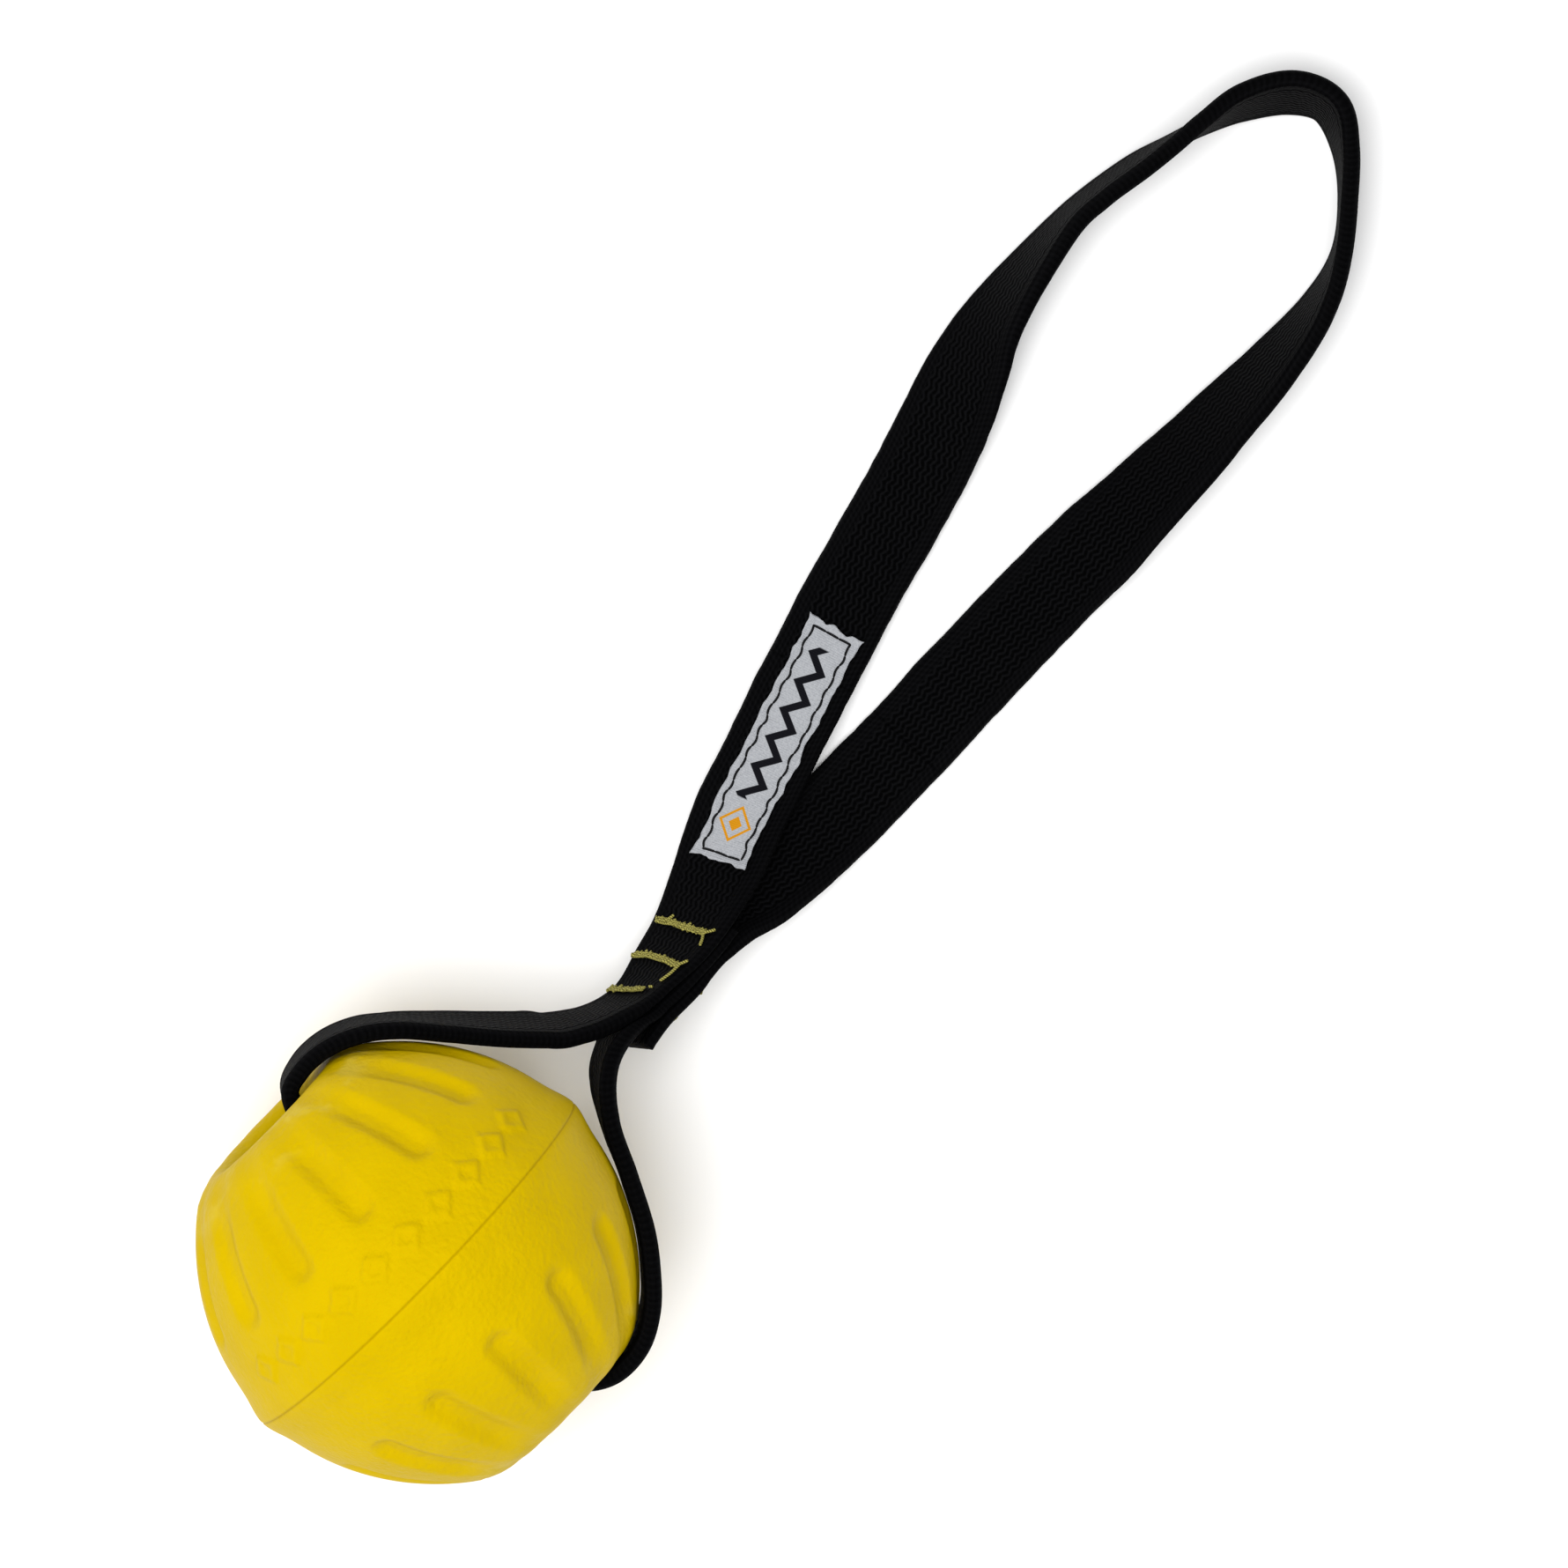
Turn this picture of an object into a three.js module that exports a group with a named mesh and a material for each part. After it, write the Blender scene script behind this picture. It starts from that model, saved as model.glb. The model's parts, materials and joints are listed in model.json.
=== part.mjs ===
// Foam fetch ball on a webbing handle.
// A moulded foam ball with a bore is threaded on one strip of webbing. The strip is stitched to itself in
// a three layer stack, which leaves a small loop round the ball and a long hand loop.
// Millimetres. +X runs from the ball along the handle, +Y along the ball's bore, +Z up from the surface
// that the ball and the handle lie on.

import * as THREE from "three";

// Ball. Latitudes are counted from the parting line, azimuths from up towards +X.
const BALL_RADIUS = 44.4;
const FLANK_RADIUS = 43.15;
const SHOULDER_RADIUS = 45;
const BELT_LATITUDE = 6;
const SHOULDER_LATITUDE = 57.5;
const LATITUDE_STEP = 5;
const FLUTES_PER_END = 14;
const COLUMNS_PER_FLUTE = 5;
const FIRST_FLUTE_AZIMUTH = 3;
const FLUTE_ROOT_LATITUDE = 27;
const FLUTE_HALF_WIDTH = 3.9;
const FLUTE_WALL = 2.4;
const FLUTE_DEPTH = 1.3;
const FLUTE_FADE_LATITUDE = 46;
const FLUTE_SHARE_AT_RIM = 0.3;
// From the shoulder over the rim into the dish, then down the bore: distance from the bore's axis, and
// distance from the parting plane.
const POLE_PROFILE = [
  [22.4, 39.3],
  [19.4, 40.6],
  [16.4, 41.1],
  [13.8, 40],
  [12, 37],
  [11, 32],
  [11, 12],
];

// Webbing.
const WEBBING_WIDTH = 19;
const WEBBING_THICKNESS = 3.4;
const PRESSED_THICKNESS = 2.3;
const HINGE_GAP = 4;
const FOLD_GAP = 3;
const BUTT_GAP = 0.3;
const END_BEVEL = 1.2;
const RIBBON_STEP = 4;

// Label and stitching.
const LABEL_WIDTH = 11.4;
const LABEL_LENGTH = 54;
const LABEL_THICKNESS = 0.5;
const LABEL_STITCH_INSET = 1.4;
const STITCH_GAP = 0.3;
const LABEL_THREAD = 0.7;
const BARTACK_LENGTH = 15;
const BARTACK_WIDTH = 2;
const BARTACK_HEIGHT = 0.9;

const FOAM = new THREE.MeshStandardMaterial({ color: 0xe1c000, roughness: 0.55, metalness: 0 });
const WEBBING = new THREE.MeshStandardMaterial({ color: 0x0b0b0c, roughness: 0.8, metalness: 0 });
const LABEL = new THREE.MeshStandardMaterial({ color: 0xc3c6cd, roughness: 0.7, metalness: 0 });
const BLACK_THREAD = new THREE.MeshStandardMaterial({ color: 0x111114, roughness: 0.6, metalness: 0 });
const YELLOW_THREAD = new THREE.MeshStandardMaterial({ color: 0xc8be3c, roughness: 0.5, metalness: 0 });

// The strip's centre line as it is threaded: out of the stack, round the hand loop, back through the
// stack, over the ball, through the bore and into the stack again. Each point is x, y, z and roll: x and y
// are counted from the ball's centre, z from the resting surface, and roll tilts the face that looks into
// the loops away from up, towards the left of travel, in degrees.
const ROUTE = {
  rear_layer: [
    [60.4, -2.65, 21.2, 77.5],
    [66.8, -1.25, 18.7, 71.7],
    [74.9, -0.15, 15, 61],
    [83.6, 1.55, 11.2, 50],
  ],
  right_strap: [
    [92.9, 1.85, 7.4, 37],
    [102.5, 0.4, 5.3, 22],
    [114.7, -0.6, 3.2, 8],
    [120.7, -0.9, 2.3, 3],
    [126.7, -1, 1.7, 0],
    [142.7, -0.8, 1.7, 0],
    [163.7, -0.2, 1.7, 0],
  ],
  right_strap_upper: [
    [183.6, -0.1, 1.7, 0],
    [189.7, 0, 2.6, 5],
    [196.7, 0, 4.6, 16],
    [211.7, 0.1, 7.3, 36],
    [231.7, 0.2, 8.8, 52],
    [252.2, 0.9, 9.8, 68],
    [265.2, 2.8, 9.7, 82],
    [275.2, 6.8, 9.6, 93],
  ],
  loop_tip: [
    [283.9, 13.7, 9.7, 94],
    [290.5, 21, 9.6, 88],
    [294.2, 29.2, 9.7, 77],
    [290.7, 36.8, 9.7, 70],
    [282.4, 42.4, 9.7, 73],
  ],
  left_strap_upper: [
    [273.8, 45.1, 9.7, 83],
    [266.7, 46.6, 9.6, 90],
    [258.6, 48.4, 9.7, 96],
    [248.5, 50.1, 9.7, 97],
    [238.4, 50.6, 9.7, 100],
    [218.4, 48.1, 9.3, 120],
    [204.4, 43.7, 7, 146],
  ],
  left_strap: [
    [183.6, 35.9, 3.1, 175],
    [159.4, 29.5, 3, 179],
    [139.3, 23.6, 5.2, 177],
    [123.3, 18.5, 6.2, 174],
    [109.3, 14, 7.6, 167],
  ],
  front_layer: [
    [95.9, 8.95, 10.8, 149],
    [84.9, 5.65, 14.4, 130],
    [75.9, 4.65, 17.7, 118.5],
    [67.4, 4.35, 20.6, 105.5],
  ],
  left_leg: [
    [59.7, 6.6, 25, 99],
    [52.9, 10.9, 29.2, 99.5],
    [48.5, 15.4, 32, 99.5],
    [43, 21.6, 35.5, 98],
    [36.5, 29.4, 39.5, 95],
    [30.2, 36.6, 43, 92],
    [24.8, 41.1, 44.2, 93],
    [18.2, 43.9, 44.4, 93],
    [11.4, 44.2, 44.4, 92],
    [6, 41.5, 44.4, 90],
  ],
  bore_run: [
    [3.2, 31, 44.4, 90],
    [3.2, 15, 44.4, 90],
    [3.2, 0, 44.4, 90],
    [3.2, -14, 44.4, 90],
  ],
  right_leg: [
    [3.2, -28.5, 44.4, 90],
    [3.9, -34.8, 44.4, 90],
    [6.6, -40, 44.4, 90],
    [12.2, -43.2, 44.4, 90],
    [19.4, -42.9, 44.4, 90],
    [26, -39.4, 44.4, 90],
    [31.5, -34, 44.4, 90],
    [36.6, -27.4, 43.8, 90],
    [41.5, -18.4, 41.6, 90],
    [45.7, -10, 38, 90],
    [50, -4.3, 34, 89],
    [54.7, -0.8, 29.4, 86],
  ],
  middle_layer: [
    [60.4, 0.95, 24, 78],
    [67.1, 1.45, 19.6, 72],
    [75.4, 2.25, 16.4, 61],
    [84.3, 3.65, 12.8, 50],
    [87.7, 4.35, 11.5, 45],
  ],
};
const PRESSED = ["rear_layer", "front_layer", "middle_layer"];

const part = new THREE.Group();
part.add(foamBall());

const strip = stripCurve();
const hinge = HINGE_GAP / 2;
const fold = FOLD_GAP / 2;
const butt = BUTT_GAP / 2;
addWebbing("webbing_rear_layer", "rear_layer", 0, "right_strap", hinge);
addWebbing("webbing_right_strap", "right_strap", hinge, "right_strap_upper", fold);
addWebbing("webbing_right_strap_upper", "right_strap_upper", fold, "loop_tip", butt);
addWebbing("webbing_loop_tip", "loop_tip", butt, "left_strap_upper", butt);
addWebbing("webbing_left_strap_upper", "left_strap_upper", butt, "left_strap", fold);
addWebbing("webbing_left_strap", "left_strap", fold, "front_layer", hinge);
addWebbing("webbing_front_layer", "front_layer", hinge, "left_leg", hinge);
addWebbing("webbing_left_leg", "left_leg", hinge, "bore_run", butt);
addWebbing("webbing_bore_run", "bore_run", butt, "right_leg", butt);
addWebbing("webbing_right_leg", "right_leg", butt, "middle_layer", hinge);
addWebbing("webbing_middle_layer", "middle_layer", hinge, "end", 0);

const labelCentre = strip.lengthAt("left_strap", 3);
const labelFace = -(WEBBING_THICKNESS / 2 + STITCH_GAP + LABEL_THICKNESS / 2);
part.add(ribbon("woven_label", LABEL, {
  from: labelCentre - LABEL_LENGTH / 2,
  to: labelCentre + LABEL_LENGTH / 2,
  width: LABEL_WIDTH,
  thickness: LABEL_THICKNESS,
  offset: labelFace,
}));
part.add(labelStitching());

["upper", "middle", "lower"].forEach((row, index) => {
  part.add(bartack("bartack_front_" + row, strip.lengthAt("front_layer", index + 1)));
  part.add(bartack("bartack_rear_" + row, strip.lengthAt("rear_layer", 3 - index)));
});

const box = new THREE.Box3().setFromObject(part);
const centre = box.getCenter(new THREE.Vector3());
part.position.set(-centre.x, -centre.y, -box.min.z);
part.updateMatrixWorld(true);

// Surface radius of the ball at a latitude and azimuth, flutes included.
function ballRadius(latitude, azimuth) {
  const belt = (BALL_RADIUS - FLANK_RADIUS) * Math.exp(-((latitude / BELT_LATITUDE) ** 2));
  const shoulder = (SHOULDER_RADIUS - FLANK_RADIUS) * Math.abs(latitude / SHOULDER_LATITUDE) ** 3;
  const land = FLANK_RADIUS + belt + shoulder;
  return land - FLUTE_DEPTH * fluteShare(latitude, azimuth, land);
}

// How far into a flute a place on the ball is, from 0 on the land to 1 on the flute's floor. A flute is a
// finger with a round end towards the parting line, which grows shallow and runs out over the rim.
function fluteShare(latitude, azimuth, radius) {
  const pitch = 360 / FLUTES_PER_END;
  const turns = (azimuth - FIRST_FLUTE_AZIMUTH) / pitch;
  const across = THREE.MathUtils.degToRad((turns - Math.round(turns)) * pitch);
  const beyondRoot = THREE.MathUtils.degToRad(Math.max(0, FLUTE_ROOT_LATITUDE - Math.abs(latitude)));
  const sideways = across * radius * Math.cos(THREE.MathUtils.degToRad(latitude));
  const distance = Math.hypot(sideways, beyondRoot * radius);
  const fading = THREE.MathUtils.smoothstep(Math.abs(latitude), FLUTE_FADE_LATITUDE, SHOULDER_LATITUDE);
  const kept = 1 - (1 - FLUTE_SHARE_AT_RIM) * fading;
  return kept * THREE.MathUtils.smoothstep(FLUTE_HALF_WIDTH - distance, 0, FLUTE_WALL);
}

function foamBall() {
  const columns = FLUTES_PER_END * COLUMNS_PER_FLUTE;
  const nearPole = POLE_PROFILE.map(([radius, y]) => ({ radius, y })).reverse();
  const farPole = POLE_PROFILE.map(([radius, y]) => ({ radius, y: -y }));
  const rows = [];
  for (let latitude = SHOULDER_LATITUDE; latitude >= -SHOULDER_LATITUDE; latitude -= LATITUDE_STEP) {
    rows.push({ latitude });
  }
  const section = [...rows, ...farPole, ...nearPole];
  const positions = [];
  for (const place of section) {
    for (let column = 0; column < columns; column += 1) {
      const azimuth = FIRST_FLUTE_AZIMUTH + (360 * column) / columns;
      positions.push(...ballPoint(place, azimuth));
    }
  }
  return ringMesh("foam_ball", FOAM, positions, section.length, columns);
}

// A point of the ball's section, either on the outer surface by its latitude or in the pole profile.
function ballPoint({ latitude, radius, y }, azimuth) {
  const turn = THREE.MathUtils.degToRad(azimuth);
  let fromAxis = radius;
  let along = y;
  if (latitude !== undefined) {
    const reach = ballRadius(latitude, azimuth);
    fromAxis = reach * Math.cos(THREE.MathUtils.degToRad(latitude));
    along = reach * Math.sin(THREE.MathUtils.degToRad(latitude));
  }
  return [fromAxis * Math.sin(turn), along, BALL_RADIUS + fromAxis * Math.cos(turn)];
}

// A closed ring of rows and columns, joined last to first both ways.
function ringMesh(name, material, positions, rows, columns) {
  const indices = [];
  for (let row = 0; row < rows; row += 1) {
    for (let column = 0; column < columns; column += 1) {
      const nextRow = (row + 1) % rows;
      const nextColumn = (column + 1) % columns;
      const a = row * columns + column;
      const b = row * columns + nextColumn;
      const c = nextRow * columns + nextColumn;
      const d = nextRow * columns + column;
      indices.push(a, c, b, a, d, c);
    }
  }
  return namedMesh(name, material, positions, indices);
}

function namedMesh(name, material, positions, indices) {
  const geometry = new THREE.BufferGeometry();
  geometry.setAttribute("position", new THREE.Float32BufferAttribute(positions, 3));
  geometry.setIndex(indices);
  geometry.computeVertexNormals();
  const mesh = new THREE.Mesh(geometry, material);
  mesh.name = name;
  return mesh;
}

// The whole strip as a curve measured by its length. Roll and thickness follow the same curve.
function stripCurve() {
  const places = [];
  const looks = [];
  const firstPoint = {};
  for (const [stretch, points] of Object.entries(ROUTE)) {
    firstPoint[stretch] = places.length;
    const thickness = PRESSED.includes(stretch) ? PRESSED_THICKNESS : WEBBING_THICKNESS;
    for (const [x, y, z, roll] of points) {
      places.push(new THREE.Vector3(x, y, z));
      looks.push(new THREE.Vector3(roll, thickness, 0));
    }
  }
  const centreLine = new THREE.CatmullRomCurve3(places, false, "catmullrom", 0.5);
  const lookLine = new THREE.CatmullRomCurve3(looks, false, "catmullrom", 0.5);
  const stepsPerPoint = 20;
  const steps = (places.length - 1) * stepsPerPoint;
  centreLine.arcLengthDivisions = steps;
  const lengths = centreLine.getLengths(steps);

  function lengthAt(stretch, index) {
    return lengths[(firstPoint[stretch] + index) * stepsPerPoint];
  }

  // The strip's place, travel, width direction and the normal of its inward face at a length.
  function frameAt(length) {
    const step = lengths.findIndex((reached) => reached > length);
    const low = step < 0 ? steps - 1 : Math.max(0, step - 1);
    const share = (length - lengths[low]) / (lengths[low + 1] - lengths[low]);
    const t = THREE.MathUtils.clamp((low + share) / steps, 0, 1);
    const travel = centreLine.getTangent(t);
    const left = new THREE.Vector3(0, 0, 1).cross(travel).normalize();
    const up = travel.clone().cross(left);
    const look = lookLine.getPoint(t);
    const roll = THREE.MathUtils.degToRad(look.x);
    const inward = up.multiplyScalar(Math.cos(roll)).addScaledVector(left, Math.sin(roll));
    const across = inward.clone().cross(travel);
    return { place: centreLine.getPoint(t), travel, across, inward, thickness: look.y };
  }

  return { lengthAt, frameAt, total: lengths[steps] };
}

function addWebbing(name, stretch, gapBefore, nextStretch, gapAfter) {
  const end = nextStretch === "end" ? strip.total : strip.lengthAt(nextStretch, 0);
  part.add(ribbon(name, WEBBING, {
    from: strip.lengthAt(stretch, 0) + gapBefore,
    to: end - gapAfter,
    width: WEBBING_WIDTH,
    bevel: END_BEVEL,
    offset: 0,
  }));
}

// A flat band along the strip with round edges. offset moves it along the inward normal. With a bevel, its
// ends thin out, which lets the next piece turn at a hinge.
function ribbon(name, material, { from, to, width, thickness, bevel = 0, offset }) {
  const steps = Math.ceil((to - from - 2 * bevel) / RIBBON_STEP);
  const stations = [];
  for (let step = 0; step <= steps; step += 1) {
    stations.push({ length: from + bevel + ((to - from - 2 * bevel) * step) / steps, thinning: 1 });
  }
  if (bevel > 0) {
    stations.unshift({ length: from, thinning: 0.4 });
    stations.push({ length: to, thinning: 0.4 });
  }
  const positions = [];
  for (const { length, thinning } of stations) {
    const frame = strip.frameAt(length);
    const half = ((thickness ?? frame.thickness) / 2) * thinning;
    for (const [sideways, height] of bandSection(width / 2, half)) {
      const point = frame.place.clone().addScaledVector(frame.across, sideways);
      point.addScaledVector(frame.inward, offset + height);
      positions.push(point.x, point.y, point.z);
    }
  }
  const sides = bandSection(width / 2, 1).length;
  return namedMesh(name, material, positions, tubeIndices(stations.length, sides));
}

function bandSection(halfWidth, halfThickness) {
  const flat = halfWidth - halfThickness * 0.8;
  const edge = halfThickness * 0.4;
  return [
    [halfWidth, edge],
    [flat, halfThickness],
    [-flat, halfThickness],
    [-halfWidth, edge],
    [-halfWidth, -edge],
    [-flat, -halfThickness],
    [flat, -halfThickness],
    [halfWidth, -edge],
  ];
}

// Side walls between the stations of a swept section, and a fan over each end.
function tubeIndices(stationCount, sides) {
  const indices = [];
  for (let station = 0; station + 1 < stationCount; station += 1) {
    for (let side = 0; side < sides; side += 1) {
      const nextSide = (side + 1) % sides;
      const a = station * sides + side;
      const b = station * sides + nextSide;
      const c = (station + 1) * sides + nextSide;
      const d = (station + 1) * sides + side;
      indices.push(a, b, c, a, c, d);
    }
  }
  const last = (stationCount - 1) * sides;
  for (let side = 1; side + 1 < sides; side += 1) {
    indices.push(0, side + 1, side);
    indices.push(last, last + side, last + side + 1);
  }
  return indices;
}

// One line of thread that runs all round the label, inside its edge.
function labelStitching() {
  const halfLength = LABEL_LENGTH / 2 - LABEL_STITCH_INSET;
  const halfWidth = LABEL_WIDTH / 2 - LABEL_STITCH_INSET;
  const offset = labelFace - LABEL_THICKNESS / 2 - STITCH_GAP - LABEL_THREAD / 2;
  const longSteps = 10;
  const outline = [];
  for (let step = 0; step <= longSteps; step += 1) {
    outline.push([-halfLength + (2 * halfLength * step) / longSteps, halfWidth]);
  }
  for (let step = longSteps; step >= 0; step -= 1) {
    outline.push([-halfLength + (2 * halfLength * step) / longSteps, -halfWidth]);
  }
  const points = outline.map(([along, sideways]) => {
    const frame = strip.frameAt(labelCentre + along);
    return frame.place.addScaledVector(frame.across, sideways).addScaledVector(frame.inward, offset);
  });
  const path = new THREE.CatmullRomCurve3(points, true, "catmullrom", 0.15);
  const geometry = new THREE.TubeGeometry(path, 66, LABEL_THREAD / 2, 5, true);
  const mesh = new THREE.Mesh(geometry, BLACK_THREAD);
  mesh.name = "label_stitching";
  return mesh;
}

// A bar of thread across the outer face of a layer of the stack.
function bartack(name, length) {
  const frame = strip.frameAt(length);
  const geometry = new THREE.CapsuleGeometry(BARTACK_WIDTH / 2, BARTACK_LENGTH - BARTACK_WIDTH, 3, 8);
  geometry.scale(1, 1, BARTACK_HEIGHT / BARTACK_WIDTH);
  const mesh = new THREE.Mesh(geometry, YELLOW_THREAD);
  const outward = frame.inward.clone().negate();
  const crosswise = frame.across.clone();
  const basis = new THREE.Matrix4().makeBasis(crosswise.clone().cross(outward), crosswise, outward);
  mesh.quaternion.setFromRotationMatrix(basis);
  mesh.position.copy(frame.place);
  mesh.position.addScaledVector(outward, frame.thickness / 2 + STITCH_GAP + BARTACK_HEIGHT / 2);
  mesh.name = name;
  return mesh;
}

export default part;
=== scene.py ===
import json
import math
import random

import bpy
import numpy as np
from mathutils import Matrix, Vector


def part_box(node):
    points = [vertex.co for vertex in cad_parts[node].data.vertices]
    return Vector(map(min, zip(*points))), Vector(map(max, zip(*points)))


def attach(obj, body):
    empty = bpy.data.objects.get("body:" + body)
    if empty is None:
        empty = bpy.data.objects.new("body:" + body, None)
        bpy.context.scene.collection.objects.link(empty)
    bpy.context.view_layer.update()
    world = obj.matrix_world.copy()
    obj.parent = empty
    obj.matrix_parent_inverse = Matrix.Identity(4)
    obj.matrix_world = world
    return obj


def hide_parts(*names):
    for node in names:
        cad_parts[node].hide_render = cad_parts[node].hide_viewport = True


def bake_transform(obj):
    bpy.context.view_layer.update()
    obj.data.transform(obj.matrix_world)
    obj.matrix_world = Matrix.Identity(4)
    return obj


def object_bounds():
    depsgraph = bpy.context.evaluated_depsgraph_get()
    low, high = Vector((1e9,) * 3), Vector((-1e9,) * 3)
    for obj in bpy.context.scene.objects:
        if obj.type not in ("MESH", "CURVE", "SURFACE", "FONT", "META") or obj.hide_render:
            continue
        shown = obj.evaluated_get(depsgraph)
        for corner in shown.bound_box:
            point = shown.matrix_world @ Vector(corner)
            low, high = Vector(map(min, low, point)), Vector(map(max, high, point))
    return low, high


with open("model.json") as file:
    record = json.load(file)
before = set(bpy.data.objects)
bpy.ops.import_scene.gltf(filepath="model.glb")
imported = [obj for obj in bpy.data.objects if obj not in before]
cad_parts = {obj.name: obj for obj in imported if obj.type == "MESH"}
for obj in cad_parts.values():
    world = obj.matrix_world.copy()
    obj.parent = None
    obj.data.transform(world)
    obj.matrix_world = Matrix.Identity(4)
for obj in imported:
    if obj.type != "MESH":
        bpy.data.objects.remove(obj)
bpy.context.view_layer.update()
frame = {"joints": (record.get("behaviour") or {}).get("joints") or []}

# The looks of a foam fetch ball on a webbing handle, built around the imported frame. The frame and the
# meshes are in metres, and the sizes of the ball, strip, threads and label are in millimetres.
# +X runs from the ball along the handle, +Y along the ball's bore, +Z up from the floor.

MM = 0.001

# ------------------------------------------------------------------ places taken from the frame

ball_low, ball_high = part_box("foam_ball")
BALL_CENTRE = np.array((Vector(ball_low) + Vector(ball_high)) / 2)
BALL_RADIUS = 44.4  # millimetres, at the parting line
# The handle's route counts x and y from the ball's centre, and z from a floor one radius below it.
ROUTE_ORIGIN = BALL_CENTRE - np.array([0, 0, BALL_RADIUS * MM])
FLOOR_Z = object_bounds()[0][2]


# ------------------------------------------------------------------ camera and light

CAMERA_TILT = math.radians(5)
CAMERA_TURN = math.radians(45.5)
CAMERA_DISTANCE = 2.0
AIM_RIGHT_OF_BALL = 0.0729
AIM_ABOVE_BALL = 0.0953
SENSOR_WIDTH = 36
LENS_PER_SENSOR = 6.404
CLIP_NEAR = 0.1
CLIP_FAR = 20
SKY_STRENGTH = 0.5
KEY_LIGHT = {"towards": (-0.24, 0.1, 1), "distance": 3.0, "size": 2.4, "power": 112}


def camera_axes():
    """Right, up and back of a camera that looks down, tilted off the vertical and turned about it."""
    back = Vector((0, math.sin(CAMERA_TILT), math.cos(CAMERA_TILT)))
    side = Vector((1, 0, 0))
    ahead = back.cross(side)
    right = math.cos(CAMERA_TURN) * side - math.sin(CAMERA_TURN) * ahead
    up = math.sin(CAMERA_TURN) * side + math.cos(CAMERA_TURN) * ahead
    return right, up, back


def make_camera():
    right, up, back = camera_axes()
    aim = Vector(BALL_CENTRE) + AIM_RIGHT_OF_BALL * right + AIM_ABOVE_BALL * up
    data = bpy.data.cameras.new("camera")
    data.sensor_width = SENSOR_WIDTH
    data.lens = data.sensor_width * LENS_PER_SENSOR
    data.clip_start = CLIP_NEAR
    data.clip_end = CLIP_FAR
    camera = bpy.data.objects.new("camera", data)
    bpy.context.scene.collection.objects.link(camera)
    turn = Matrix((right, up, back)).transposed().to_4x4()
    camera.matrix_world = Matrix.Translation(aim + CAMERA_DISTANCE * back) @ turn
    bpy.context.scene.camera = camera


def add_area_light(name, towards, distance, size, power):
    """A square soft light that shines on the frame's origin from the direction given."""
    data = bpy.data.lights.new(name, "AREA")
    data.size = size
    data.energy = power
    light = bpy.data.objects.new(name, data)
    bpy.context.scene.collection.objects.link(light)
    direction = Vector(towards).normalized()
    light.location = direction * distance
    light.rotation_euler = direction.to_track_quat("Z", "Y").to_euler()


def make_studio():
    world = bpy.data.worlds.new("studio")
    world.use_nodes = True
    sky = world.node_tree.nodes["Background"]
    sky.inputs["Color"].default_value = (1, 1, 1, 1)
    sky.inputs["Strength"].default_value = SKY_STRENGTH
    bpy.context.scene.world = world
    bpy.context.scene.view_settings.view_transform = "Standard"
    add_area_light("key_light", **KEY_LIGHT)


# ------------------------------------------------------------------ materials


class Paint:
    """A node material on one Principled shader, with short names for the nodes that it uses."""

    def __init__(self, name, constants):
        self.material = bpy.data.materials.new(name)
        self.material.use_nodes = True
        self.tree = self.material.node_tree
        self.shader = self.tree.nodes["Principled BSDF"]
        for socket, value in constants.items():
            self.shader.inputs[socket].default_value = value

    def node(self, kind, inputs=(), **settings):
        made = self.tree.nodes.new("ShaderNode" + kind)
        for setting, value in settings.items():
            setattr(made, setting, value)
        for socket, value in dict(inputs).items():
            self.feed(made.inputs[socket], value)
        return made

    def feed(self, socket, value):
        if isinstance(value, bpy.types.NodeSocket):
            self.tree.links.new(value, socket)
        else:
            socket.default_value = value

    def math(self, operation, *values):
        made = self.node("Math", operation=operation)
        for socket, value in zip(made.inputs, values):
            self.feed(socket, value)
        return made.outputs[0]

    def times(self, first, second):
        return self.math("MULTIPLY", first, second)

    def plus(self, first, second):
        return self.math("ADD", first, second)

    def wave(self, value, period):
        """A cosine of a length, from -1 to 1."""
        return self.math("COSINE", self.times(value, 2 * math.pi / period))

    def ramp(self, value, low, high):
        """0 below low and 1 above high, smooth between them. low may be the larger one."""
        flip = low > high
        ends = {"From Min": min(low, high), "From Max": max(low, high)}
        targets = {"To Min": 1.0 if flip else 0.0, "To Max": 0.0 if flip else 1.0}
        inputs = {"Value": value, **ends, **targets}
        made = self.node("MapRange", inputs, interpolation_type="SMOOTHSTEP")
        return made.outputs["Result"]

    def attribute(self, name):
        return self.node("Attribute", attribute_name=name)

    def split(self, vector):
        return self.node("SeparateXYZ", {"Vector": vector}).outputs

    def join(self, x, y, z=0.0):
        return self.node("CombineXYZ", {"X": x, "Y": y, "Z": z}).outputs[0]

    def noise(self, vector, scale, detail=2.0):
        made = self.node("TexNoise", {"Vector": vector, "Scale": scale, "Detail": detail})
        return made.outputs["Fac"]

    def mix(self, share, first, second):
        made = self.node("Mix", data_type="RGBA")
        self.feed(made.inputs[0], share)
        self.feed(made.inputs[6], first)
        self.feed(made.inputs[7], second)
        return made.outputs[2]

    def bump(self, height, distance, strength=1.0):
        made = self.node("Bump", {"Height": height, "Distance": distance, "Strength": strength})
        self.feed(self.shader.inputs["Normal"], made.outputs[0])

    def colour(self, value):
        self.feed(self.shader.inputs["Base Color"], value)

    def roughness(self, value):
        self.feed(self.shader.inputs["Roughness"], value)


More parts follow.
